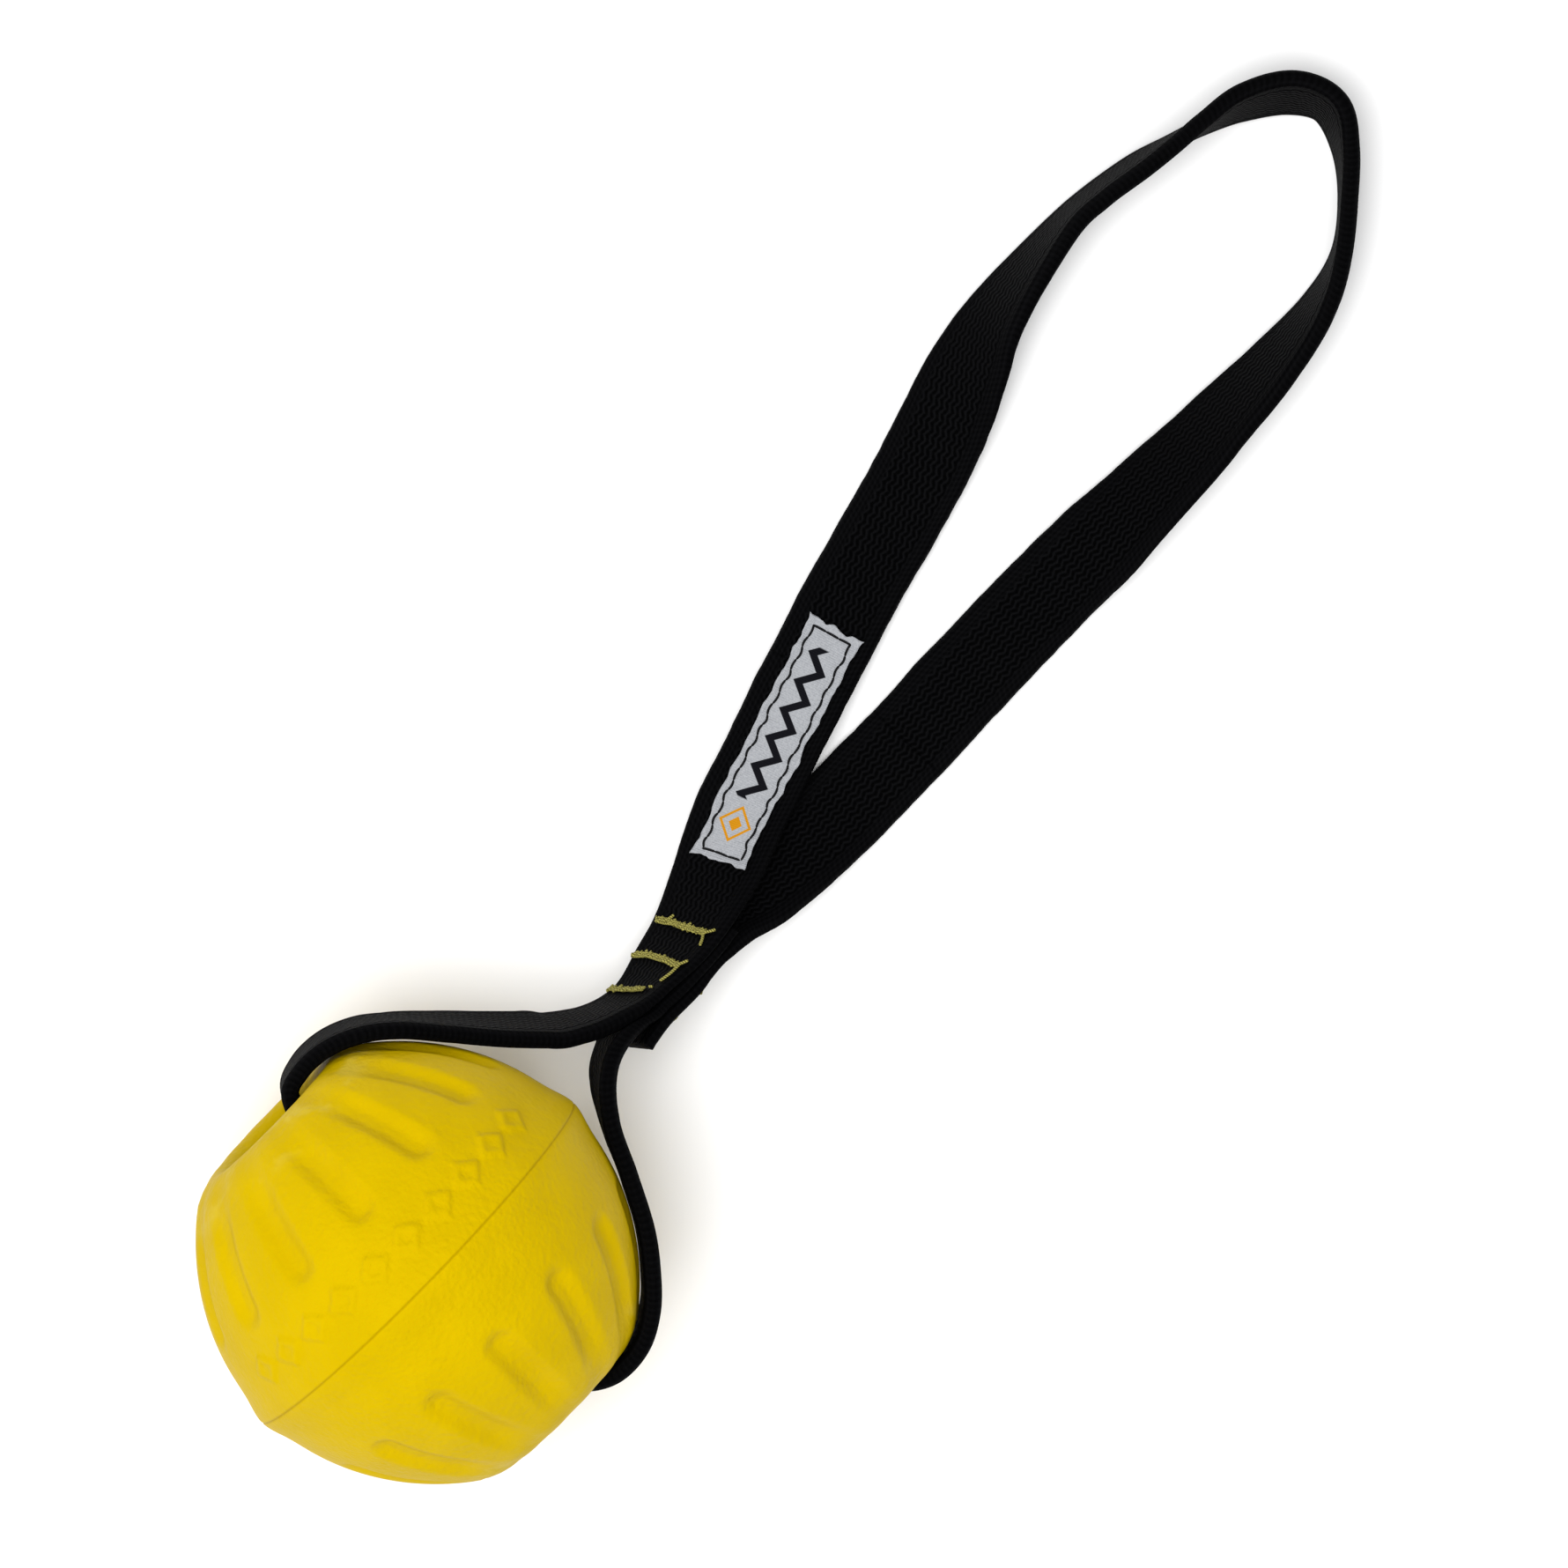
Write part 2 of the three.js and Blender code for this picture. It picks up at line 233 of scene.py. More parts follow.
# Scales of the noises are in cells per metre, and reliefs are in metres.
FOAM_SURFACE = {
    "Specular IOR Level": 0.07,
    "Specular Tint": (1, 0.8, 0.05, 1),
    "Subsurface Weight": 0.03,
    "Subsurface Scale": 0.002,
}
FOAM_TONES = ((0.51, 0.348, 0.0, 1), (0.54, 0.37, 0.0, 1))
SCUFF_TONE = (0.62, 0.5, 0.09, 1)
# Painted shade: the colour that darkens the parting line's fine groove.
PARTING_GROOVE_SHADE = (0.2, 0.11, 0.0, 1)
PEBBLE_SCALE = 950.0
GRAIN_SCALE = 700.0
SCUFF_SCALE = 110.0
SWELL_SCALE = 75.0
PATCH_SCALE = 28.0
FOAM_RELIEF = 0.00032


def foam_material():
    """Pebbled moulded skin. The marks attribute says where the parting line and the scuffed rims are,
    and the parting line's groove is darkened with painted shade.
    """
    paint = Paint("foam_skin", FOAM_SURFACE)
    place = paint.node("TexCoord").outputs["Object"]
    cells = paint.node("TexVoronoi", {"Vector": place, "Scale": PEBBLE_SCALE}, feature="SMOOTH_F1")
    pebbles = paint.times(cells.outputs["Distance"], -0.5)
    grain = paint.noise(place, GRAIN_SCALE, 4.0)
    swell = paint.noise(place, SWELL_SCALE, 3.0)
    patch = paint.ramp(paint.noise(place, PATCH_SCALE, 2.0), 0.35, 0.65)
    coarse = paint.times(pebbles, paint.plus(0.25, paint.times(patch, 0.75)))
    height = paint.plus(coarse, paint.times(grain, 0.7))
    height = paint.plus(height, paint.times(swell, 1.0))
    paint.bump(height, FOAM_RELIEF)
    tone = paint.mix(paint.ramp(swell, 0.3, 0.7), *FOAM_TONES)
    marks = paint.split(paint.attribute("marks").outputs["Vector"])
    scuff_noise = paint.ramp(paint.noise(place, SCUFF_SCALE, 5.0), 0.52, 0.66)
    scuff = paint.times(marks["Y"], scuff_noise)
    tone = paint.mix(paint.times(scuff, 0.3), tone, SCUFF_TONE)
    # Painted shade along the parting line's groove.
    tone = paint.mix(paint.times(marks["X"], 0.4), tone, PARTING_GROOVE_SHADE)
    paint.colour(tone)
    paint.roughness(paint.plus(0.46, paint.times(grain, 0.16)))
    return paint.material


# Periods are in millimetres of cloth.
ZIGZAG_HALF_PERIOD = 1.3
RIB_PERIOD = 1.25
FLOAT_PERIOD = 1.3
KNIT_PERIOD = 1.3
YARN_PERIOD = 0.9
WEAVE_ENDS = 5.9
KNIT_STARTS = 6.6
WEBBING_RELIEF = 0.00013
# The webbing's black, with painted shade: the first tone goes in the weave's valleys, the second on its
# tops.
WEBBING_SHADE_TONES = ((0.0001, 0.0001, 0.0002, 1), (0.0026, 0.0026, 0.0031, 1))


def webbing_material():
    """A zigzag weave between two knitted selvages, placed by the cloth attribute. Its colour carries
    painted shade: darker in the weave's valleys, lighter on its tops.
    """
    paint = Paint("webbing_weave", {"Specular IOR Level": 0.02})
    across, along, _ = paint.split(paint.attribute("cloth").outputs["Vector"])
    zigzag = paint.times(paint.math("PINGPONG", along, ZIGZAG_HALF_PERIOD), 0.5)
    rib = paint.wave(paint.plus(across, zigzag), RIB_PERIOD)
    float_length = paint.wave(paint.plus(along, paint.times(across, 0.35)), FLOAT_PERIOD)
    centre = paint.plus(rib, paint.times(float_length, 0.3))
    from_edge = paint.math("ABSOLUTE", across)
    lean = paint.times(from_edge, 0.6)
    knit = paint.wave(paint.plus(along, lean), KNIT_PERIOD)
    yarn = paint.wave(across, YARN_PERIOD)
    edge = paint.plus(paint.times(knit, 0.22), paint.times(yarn, 0.3))
    selvage = paint.ramp(from_edge, WEAVE_ENDS, KNIT_STARTS)
    weave = paint.node("Mix", data_type="FLOAT")
    for socket, value in zip((0, 2, 3), (selvage, centre, edge)):
        paint.feed(weave.inputs[socket], value)
    weave = weave.outputs[0]
    stretched = paint.join(paint.times(across, 3.0), along)
    fibre = paint.noise(stretched, 2.4, 3.0)
    patch = paint.noise(paint.join(across, along), 0.18, 2.0)
    depth = paint.times(weave, paint.plus(0.45, paint.times(patch, 0.8)))
    paint.bump(paint.plus(depth, paint.times(fibre, 0.9)), WEBBING_RELIEF)
    # The colour follows the weave's height: painted shade in its valleys, a lighter tone on its tops.
    tops = paint.ramp(paint.plus(weave, fibre), -0.6, 1.6)
    paint.colour(paint.mix(tops, *WEBBING_SHADE_TONES))
    paint.roughness(paint.math("SUBTRACT", 0.78, paint.times(tops, 0.22)))
    return paint.material


TWIST_PERIOD = 0.5
THREAD_RELIEF = 0.00004


def thread_material(name, shaded_tone, lit_tone, roughness):
    """Twisted thread: along and around its own line come from the thread attribute. Its colour carries
    painted shade: darker in the twist's grooves, lighter on its crests.
    """
    paint = Paint(name, {"Roughness": roughness, "Specular IOR Level": 0.15})
    along, around, _ = paint.split(paint.attribute("thread").outputs["Vector"])
    twist = paint.wave(paint.plus(along, paint.times(around, 0.5)), TWIST_PERIOD)
    fray = paint.noise(paint.join(paint.times(around, 6.0), along), 3.0, 3.0)
    paint.bump(paint.plus(twist, fray), THREAD_RELIEF)
    # The colour follows the twist's height: painted shade in its grooves, a lighter tone on its crests.
    paint.colour(paint.mix(paint.ramp(paint.plus(twist, fray), -0.6, 1.5), shaded_tone, lit_tone))
    return paint.material


# Millimetres of cloth from the label's middle. The lozenge is at the end near the ball.
WARP_PERIOD = 0.32
WEFT_PERIOD = 0.46
LABEL_RELIEF = 0.00005
LABEL_TONES = ((0.29, 0.3, 0.32, 1), (0.36, 0.37, 0.39, 1))
LABEL_BLACK = (0.002, 0.002, 0.004, 1)
LABEL_AMBER = (0.5, 0.21, 0.004, 1)
ZIGZAG_HALF_STEP = 3.2
ZIGZAG_SLOPE = 1.1
ZIGZAG_LOW_END = -21.8
ZIGZAG_HIGH_END = 12.8
LOZENGE_CENTRE = 18.2


def label_material():
    """Satin tape, with a woven zigzag and a lozenge that stand for nothing."""
    paint = Paint("label_weave", {"Roughness": 0.7, "Specular IOR Level": 0.08})
    across, along, _ = paint.split(paint.attribute("cloth").outputs["Vector"])
    warp = paint.wave(across, WARP_PERIOD)
    weft = paint.wave(along, WEFT_PERIOD)
    fibre = paint.noise(paint.join(across, along), 2.2, 3.0)
    height = paint.plus(paint.times(warp, 0.4), paint.times(weft, 0.5))
    paint.bump(paint.plus(height, fibre), LABEL_RELIEF)
    ground = paint.mix(paint.ramp(fibre, 0.3, 0.7), *LABEL_TONES)
    sawtooth = paint.math("PINGPONG", paint.plus(along, 100.0), ZIGZAG_HALF_STEP)
    crest = paint.math("SUBTRACT", sawtooth, ZIGZAG_HALF_STEP / 2)
    off_line = paint.math("SUBTRACT", across, paint.times(crest, ZIGZAG_SLOPE))
    stripe = paint.ramp(paint.math("ABSOLUTE", off_line), 1.2, 1.0)
    above_low = paint.ramp(along, ZIGZAG_LOW_END, ZIGZAG_LOW_END + 0.3)
    below_high = paint.ramp(along, ZIGZAG_HIGH_END, ZIGZAG_HIGH_END - 0.3)
    inside = paint.times(above_low, below_high)
    tone = paint.mix(paint.times(stripe, inside), ground, LABEL_BLACK)
    past_middle = paint.math("ABSOLUTE", paint.math("SUBTRACT", along, LOZENGE_CENTRE))
    corner = paint.plus(past_middle, paint.times(paint.math("ABSOLUTE", across), 1.15))
    ring = paint.times(paint.ramp(corner, 4.15, 4.0), paint.ramp(corner, 3.2, 3.35))
    dot = paint.ramp(corner, 1.75, 1.6)
    tone = paint.mix(paint.math("MAXIMUM", ring, dot), tone, LABEL_AMBER)
    paint.colour(tone)
    return paint.material


def floor_material():
    white = (0.96, 0.96, 0.96, 1)
    return Paint("floor", {"Base Color": white, "Roughness": 0.9, "Specular IOR Level": 0.1}).material


# ------------------------------------------------------------------ mesh helpers


def mesh_object(name, points, faces, material, corner_values=None, point_values=None):
    """A smooth mesh in the row frame. The values are attributes that its material reads."""
    mesh = bpy.data.meshes.new(name)
    mesh.from_pydata([tuple(p) for p in points], [], [tuple(f) for f in faces])
    mesh.validate()
    mesh.update()
    mesh.shade_smooth()
    for domain, values in (("CORNER", corner_values or {}), ("POINT", point_values or {})):
        for attribute_name, rows in values.items():
            layer = mesh.attributes.new(attribute_name, "FLOAT_VECTOR", domain)
            layer.data.foreach_set("vector", np.asarray(rows, np.float32).ravel())
    mesh.materials.append(material)
    made = bpy.data.objects.new(name, mesh)
    bpy.context.scene.collection.objects.link(made)
    return made


def grid_faces(rows, columns, wrap_rows=False):
    """Quads of a grid whose columns close round. Rows close as well where they wrap."""
    row = np.arange(rows if wrap_rows else rows - 1)[:, None]
    column = np.arange(columns)[None, :]
    next_row = (row + 1) % rows
    next_column = (column + 1) % columns
    corners = (
        row * columns + column,
        row * columns + next_column,
        next_row * columns + next_column,
        next_row * columns + column,
    )
    spread = [np.broadcast_to(corner, (len(row), columns)) for corner in corners]
    return np.stack(spread, axis=-1).reshape(-1, 4)


def smoothstep(value, low, high):
    share = np.clip((value - low) / (high - low), 0, 1)
    return share * share * (3 - 2 * share)


def catmull_rom(points, where):
    """The uniform Catmull-Rom curve through points, at parameters that count the points from 0."""
    points = np.asarray(points, float)
    ends = np.vstack([2 * points[0] - points[1], points, 2 * points[-1] - points[-2]])
    low = np.clip(np.floor(where).astype(int), 0, len(points) - 2)
    share = (where - low)[:, None]
    before, start, end, after = (ends[low + k] for k in range(4))
    bend = 2 * before - 5 * start + 4 * end - after
    twist = 3 * start - before - 3 * end + after
    return (2 * start + (end - before) * share + bend * share**2 + twist * share**3) / 2


def soft_noise(count, spacing, seed, size):
    """Smooth random values, one per step, that change over about the given number of steps."""
    draws = random.Random(seed)
    knots = [[draws.uniform(-size, size)] for _ in range(int(count / spacing) + 4)]
    return catmull_rom(knots, np.arange(count) / spacing)[:, 0]


# ------------------------------------------------------------------ ball

FLANK_RADIUS = 43.15
SHOULDER_RADIUS = 45
BELT_LATITUDE = 6
SHOULDER_LATITUDE = 57.5
FLUTES_PER_END = 14
FIRST_FLUTE_AZIMUTH = 3
FLUTE_ROOT_LATITUDE = 27
FLUTE_HALF_WIDTH = 4.4
FLUTE_WALL = 3.7
FLUTE_DEPTH = 1.5
FLUTE_FADE_LATITUDE = 46
FLUTE_SHARE_AT_RIM = 0.3
POLE_PROFILE = [
    [22.4, 39.3],
    [19.4, 40.6],
    [16.4, 41.1],
    [13.8, 40],
    [12, 37],
    [11, 32],
    [11, 12],
]
BALL_COLUMNS = 480
PARTING_HALF_WIDTH = 0.36
PARTING_DEPTH = 0.2
LOZENGES = 10
FIRST_LOZENGE_AZIMUTH = -54
LOZENGE_PITCH = 12
LOZENGE_LATITUDE = 12
LOZENGE_HALF_SIZE = 4.9
LOZENGE_HEIGHT = 0.55
POLE_STEPS = 30


def flute_share(latitude, azimuth, radius):
    """How far into a flute a place is, from 0 on the land to 1 on the flute's floor."""
    pitch = 360 / FLUTES_PER_END
    turns = (azimuth - FIRST_FLUTE_AZIMUTH) / pitch
    across = np.radians((turns - np.round(turns)) * pitch)
    beyond_root = np.radians(np.maximum(0, FLUTE_ROOT_LATITUDE - np.abs(latitude)))
    sideways = across * radius * np.cos(np.radians(latitude))
    distance = np.hypot(sideways, beyond_root * radius)
    fading = smoothstep(np.abs(latitude), FLUTE_FADE_LATITUDE, SHOULDER_LATITUDE)
    kept = 1 - (1 - FLUTE_SHARE_AT_RIM) * fading
    return kept * smoothstep(FLUTE_HALF_WIDTH - distance, 0, FLUTE_WALL)


def lozenge_share(latitude, azimuth):
    """A row of plain raised lozenges beside the parting line."""
    share = np.zeros(np.broadcast(latitude, azimuth).shape)
    for index in range(LOZENGES):
        turn = azimuth - (FIRST_LOZENGE_AZIMUTH + index * LOZENGE_PITCH)
        turn = (turn + 180) % 360 - 180
        out = (np.abs(turn) * 0.8 + np.abs(latitude - LOZENGE_LATITUDE)) / LOZENGE_HALF_SIZE
        raised = smoothstep(out, 1.0, 0.78) * (1 - 0.6 * smoothstep(out, 0.5, 0.3))
        share = np.maximum(share, raised)
    return share


def parting_share(latitude, radius):
    """1 at the bottom of the fine groove where the mould's halves met."""
    return np.clip(1 - np.abs(np.radians(latitude)) * radius / PARTING_HALF_WIDTH, 0, 1)


def ball_surface(latitude, azimuth):
    """Radius of the ball in millimetres at a latitude and azimuth."""
    belt = (BALL_RADIUS - FLANK_RADIUS) * np.exp(-((latitude / BELT_LATITUDE) ** 2))
    shoulder = (SHOULDER_RADIUS - FLANK_RADIUS) * np.abs(latitude / SHOULDER_LATITUDE) ** 3
    land = FLANK_RADIUS + belt + shoulder
    radius = land - FLUTE_DEPTH * flute_share(latitude, azimuth, land)
    radius = radius + LOZENGE_HEIGHT * lozenge_share(latitude, azimuth)
    return radius - PARTING_DEPTH * parting_share(latitude, land)


def ball_latitudes():
    """Latitudes from one shoulder to the other, closer together where the detail is finer."""
    near_line = [0, 0.14, 0.3, 0.46, 0.8, 1.4]
    near_marks = np.arange(2.4, 19, 0.75)
    flank = np.arange(19.4, SHOULDER_LATITUDE, 1.0)
    half = np.concatenate([near_line, near_marks, flank, [SHOULDER_LATITUDE]])
    return np.concatenate([half[::-1], -half[1:]])


def ball_rows():
    """Distance from the bore's axis, distance along it, and marks, for every place of the ball."""
    azimuth = np.arange(BALL_COLUMNS) * 360 / BALL_COLUMNS
    latitude = ball_latitudes()[:, None]
    reach = ball_surface(latitude, azimuth)
    from_axis = reach * np.cos(np.radians(latitude))
    along = reach * np.sin(np.radians(latitude))
    steps = np.linspace(0, len(POLE_PROFILE) - 1, POLE_STEPS)
    pole = catmull_rom(POLE_PROFILE, steps)
    sunk = flute_share(SHOULDER_LATITUDE, azimuth, SHOULDER_RADIUS) * FLUTE_DEPTH
    fade = (1 - smoothstep(steps, 0, 2.4))[:, None]
    pole_from_axis = pole[:, :1] - fade * sunk * 0.5
    pole_along = pole[:, 1:] - fade * sunk * 0.85
    from_axis = np.vstack([from_axis, pole_from_axis, pole_from_axis[::-1]])
    along = np.vstack([along, -pole_along, pole_along[::-1]])
    # The parting line's share also darkens the skin's colour there: painted shade in the groove.
    line = np.broadcast_to(parting_share(latitude, BALL_RADIUS), reach.shape)
    rim = np.broadcast_to(smoothstep(np.abs(latitude), 50, SHOULDER_LATITUDE), reach.shape)
    pole_rim = 1 - smoothstep(steps, 1.2, 3.0)[:, None]
    pole_rim = np.broadcast_to(pole_rim, pole_from_axis.shape)
    line = np.vstack([line, np.zeros((2 * len(steps), BALL_COLUMNS))])
    rim = np.vstack([rim, pole_rim, pole_rim[::-1]])
    return azimuth, from_axis, along, line, rim


def make_ball():
    azimuth, from_axis, along, line, rim = ball_rows()
    turn = np.radians(azimuth)
    offsets = np.stack([from_axis * np.sin(turn), along, from_axis * np.cos(turn)], axis=-1)
    points = BALL_CENTRE + offsets.reshape(-1, 3) * MM
    marks = np.stack([line, rim, np.zeros_like(line)], axis=-1).reshape(-1, 3)
    faces = grid_faces(len(from_axis), BALL_COLUMNS, wrap_rows=True)[:, ::-1]
    ball = mesh_object("ball_skin", points, faces, foam_material(),
                       point_values={"marks": marks})
    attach(ball, "ball")
    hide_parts("foam_ball")


# ------------------------------------------------------------------ the strip of webbing

WEBBING_WIDTH = 19
WEBBING_THICKNESS = 3.4
PRESSED_THICKNESS = 2.3
# x, y and z in millimetres from the route's origin, and the roll in degrees of the face that looks into
# the loops.
ROUTE = {
    "rear_layer": [
        [60.4, -2.65, 21.2, 77.5],
        [66.8, -1.25, 18.7, 71.7],
        [74.9, -0.15, 15, 61],
        [83.6, 1.55, 11.2, 50],
    ],
    "right_strap": [
        [92.9, 1.85, 7.4, 37],
        [102.5, 0.4, 5.3, 22],
        [114.7, -0.6, 3.2, 8],
        [120.7, -0.9, 2.3, 3],
        [126.7, -1, 1.7, 0],
        [142.7, -0.8, 1.7, 0],
        [163.7, -0.2, 1.7, 0],
    ],
    "right_strap_upper": [
        [183.6, -0.1, 1.7, 0],
        [189.7, 0, 2.6, 5],
        [196.7, 0, 4.6, 16],
        [211.7, 0.1, 7.3, 36],
        [231.7, 0.2, 8.8, 52],
        [252.2, 0.9, 9.8, 68],
        [265.2, 2.8, 9.7, 82],
        [275.2, 6.8, 9.6, 93],
    ],
    "loop_tip": [
        [283.9, 13.7, 9.7, 94],
        [290.5, 21, 9.6, 88],
        [294.2, 29.2, 9.7, 77],
        [290.7, 36.8, 9.7, 70],
        [282.4, 42.4, 9.7, 73],
    ],
    "left_strap_upper": [
        [273.8, 45.1, 9.7, 83],
        [266.7, 46.6, 9.6, 90],
        [258.6, 48.4, 9.7, 96],
        [248.5, 50.1, 9.7, 97],
        [238.4, 50.6, 9.7, 100],
        [218.4, 48.1, 9.3, 120],
        [204.4, 43.7, 7, 146],
    ],
    "left_strap": [
        [183.6, 35.9, 3.1, 175],
        [159.4, 29.5, 3, 179],
        [139.3, 23.6, 5.2, 177],
        [123.3, 18.5, 6.2, 174],
        [109.3, 14, 7.6, 167],
    ],
    "front_layer": [
        [95.9, 8.95, 10.8, 149],
        [84.9, 5.65, 14.4, 130],
        [75.9, 4.65, 17.7, 118.5],
        [67.4, 4.35, 20.6, 105.5],
    ],
    "left_leg": [
        [59.7, 6.6, 25, 99],
        [52.9, 10.9, 29.2, 99.5],
        [48.5, 15.4, 32, 99.5],
        [43, 21.6, 35.5, 98],
        [36.5, 29.4, 39.5, 95],
        [30.2, 36.6, 43, 92],
        [24.8, 41.1, 44.2, 93],
        [18.2, 43.9, 44.4, 93],
        [11.4, 44.2, 44.4, 92],
        [6, 41.5, 44.4, 90],
    ],
    "bore_run": [
        [3.2, 31, 44.4, 90],
        [3.2, 15, 44.4, 90],
        [3.2, 0, 44.4, 90],
        [3.2, -14, 44.4, 90],
    ],
    "right_leg": [
        [3.2, -28.5, 44.4, 90],
        [3.9, -34.8, 44.4, 90],
        [6.6, -40, 44.4, 90],
        [12.2, -43.2, 44.4, 90],
        [19.4, -42.9, 44.4, 90],
        [26, -39.4, 44.4, 90],
        [31.5, -34, 44.4, 90],
        [36.6, -27.4, 43.8, 90],
        [41.5, -18.4, 41.6, 90],
        [45.7, -10, 38, 90],
        [50, -4.3, 34, 89],
        [54.7, -0.8, 29.4, 86],
    ],
    "middle_layer": [
        [60.4, 0.95, 24, 78],
        [67.1, 1.45, 19.6, 72],
        [75.4, 2.25, 16.4, 61],
        [84.3, 3.65, 12.8, 50],
        [87.7, 4.35, 11.5, 45],
    ],
}
PRESSED = ("rear_layer", "front_layer", "middle_layer")
SAMPLES_PER_POINT = 30
STATION_STEP = 0.6
SELVAGE_WIDTH = 3.2
SELVAGE_PERIOD = 2.4
SELVAGE_PULSE = 0.015
CUT_SKEW = 0.16
CUT_SKEW_REACH = 8
EDGE_SEED = 40


class Strip:
    """The strip's centre line, by its length in millimetres, with its width and face directions."""

    def __init__(self):
        places, looks, self.first_point = [], [], {}
        for stretch, points in ROUTE.items():
            self.first_point[stretch] = len(places)
            thickness = PRESSED_THICKNESS if stretch in PRESSED else WEBBING_THICKNESS
            for x, y, z, roll in points:
                places.append([x, y, z])
                looks.append([roll, thickness])
        where = np.linspace(0, len(places) - 1, (len(places) - 1) * SAMPLES_PER_POINT + 1)
        self.place = catmull_rom(places, where)
        look = catmull_rom(looks, where)
        roll, self.thickness = np.radians(look[:, :1]), look[:, 1]
        gaps = np.linalg.norm(np.diff(self.place, axis=0), axis=1)
        self.length = np.concatenate([[0], np.cumsum(gaps)])
        travel = np.gradient(self.place, self.length, axis=0)
        self.travel = travel / np.linalg.norm(travel, axis=1, keepdims=True)
        left = np.cross([0, 0, 1], self.travel)
        left /= np.linalg.norm(left, axis=1, keepdims=True)
        up = np.cross(self.travel, left)
        self.inward = np.cos(roll) * up + np.sin(roll) * left
        self.across = np.cross(self.inward, self.travel)

    def length_at(self, stretch, index):
        return self.length[(self.first_point[stretch] + index) * SAMPLES_PER_POINT]

    def read(self, values, lengths):
        if values.ndim == 1:
            return np.interp(lengths, self.length, values)
        return np.stack([np.interp(lengths, self.length, column) for column in values.T], axis=-1)

    def point(self, length, sideways, height):
        """Places in millimetres, by length, distance across the face and height along its inward normal.

        Before its first end the strip goes on straight."""
        length, sideways, height = np.broadcast_arrays(length, sideways, height)
        before_start = np.minimum(length, 0)[..., None]
        place = self.read(self.place, length) + self.read(self.travel, length) * before_start
        across = self.read(self.across, length)
        inward = self.read(self.inward, length)
        return place + across * sideways[..., None] + inward * height[..., None]


strip = Strip()


def to_row(points):
    """Millimetres on the route to metres in the row frame."""
    return ROUTE_ORIGIN + np.asarray(points) * MM


def band_section():
    """The band's section: millimetres across, height from -1 to 1, and millimetres of relief.

    The edges are round, the selvages stand a little proud, and a fine valley lies beside them."""
    half = WEBBING_WIDTH / 2
    edge = WEBBING_THICKNESS / 2 * 0.9
    arc = np.radians(np.linspace(0, 78, 6))
    flat = np.linspace(half - edge * 0.8, -(half - edge * 0.8), 23)[1:-1]
    near_edge = half - edge + edge * np.cos(arc)
    far_edge = -(half - edge + edge * np.cos(arc[::-1]))
    side = np.concatenate([near_edge, flat, far_edge])
    rise = np.concatenate([np.sin(arc), np.ones(len(flat)), np.sin(arc[::-1])])
    from_middle = np.abs(side)
    valley = -0.16 * np.exp(-(((from_middle - (half - SELVAGE_WIDTH)) / 0.4) ** 2))
    cushion = 0.1 * np.exp(-(((from_middle - (half - 1.6)) / 0.9) ** 2))
    sag = -0.06 * smoothstep(from_middle, half - SELVAGE_WIDTH, 2)
    relief = (valley + cushion + sag) * rise
    sideways = np.concatenate([side, side[::-1]])
    height = np.concatenate([rise, -rise[::-1]])
    return sideways, height, np.concatenate([relief, -relief[::-1]])


def edge_wander(seed):
    """How far a selvage strays from straight, in millimetres, against the strip's whole length."""
    count = int(strip.length[-1]) + 2
    wide = soft_noise(count, 9, seed, 0.16)
    return np.arange(count), wide + soft_noise(count, 2.6, seed + 10, 0.07)


def skewed(lengths, sideways):
    """Lengths near the strip's first end, moved so that its cut runs aslant."""
    near_end = 1 - smoothstep(lengths, 0, CUT_SKEW_REACH)
    return lengths + CUT_SKEW * sideways * near_end


def ribbon_points(lengths, seed):
    """The strip's surface in millimetres, one row of the section at each length."""
    sideways, height, relief = band_section()
    half = strip.read(strip.thickness, lengths)[:, None] / 2
    pulse = np.cos(2 * np.pi * lengths / SELVAGE_PERIOD)[:, None]
    at_edge = smoothstep(np.abs(sideways), WEBBING_WIDTH / 2 - SELVAGE_WIDTH, WEBBING_WIDTH / 2)
    wander = np.interp(lengths, *edge_wander(seed))[:, None]
    other = np.interp(lengths, *edge_wander(seed + 1))[:, None]
    spread = np.where(sideways > 0, wander, other) * np.sign(sideways)
    wide = sideways + at_edge * (np.sign(sideways) * pulse * SELVAGE_PULSE + spread)
    tall = height * half + relief
    return strip.point(skewed(lengths[:, None], sideways), wide, tall)


def make_ribbon(name, start, end, material):
    """A closed stretch of the strip. The cloth attribute holds millimetres across and along."""
    steps = max(2, round((end - start) / STATION_STEP))
    lengths = np.linspace(start, end, steps + 1)
    points = to_row(ribbon_points(lengths, EDGE_SEED).reshape(-1, 3))
    sideways = band_section()[0]
    columns = len(sideways)
    faces = grid_faces(len(lengths), columns)
    across = np.broadcast_to(sideways, (len(lengths), columns))
    along = np.broadcast_to(lengths[:, None], across.shape)
    cloth = np.stack([across, along, np.zeros_like(across)], axis=-1).reshape(-1, 3)
    first_row = list(range(columns))
    caps = [first_row[::-1], [len(lengths) * columns - columns + k for k in first_row]]
    corner_rows = np.vstack([cloth[faces.ravel()], cloth[caps[0]], cloth[caps[1]]])
    all_faces = [*faces.tolist(), *caps]
    return mesh_object(name, points, all_faces, material,
                       corner_values={"cloth": corner_rows})


# Half lengths in metres of the stretches that bend, and the line that the straps follow by the stack.
LOOP_REACH = 0.005
HANDLE_REACH = 0.006
FOLD_REACH = 0.009
STACK_SLOPE = (0.9, 0, -0.38)


def joint_place(name, along, reach):
    """Two places round a joint: its place, less and plus a reach along a direction."""
    joint = next(j for j in frame["joints"] if j["name"] == name)
    middle = Vector(joint["pos_m"])
    direction = Vector(along).normalized() * reach
    return middle - direction, middle + direction


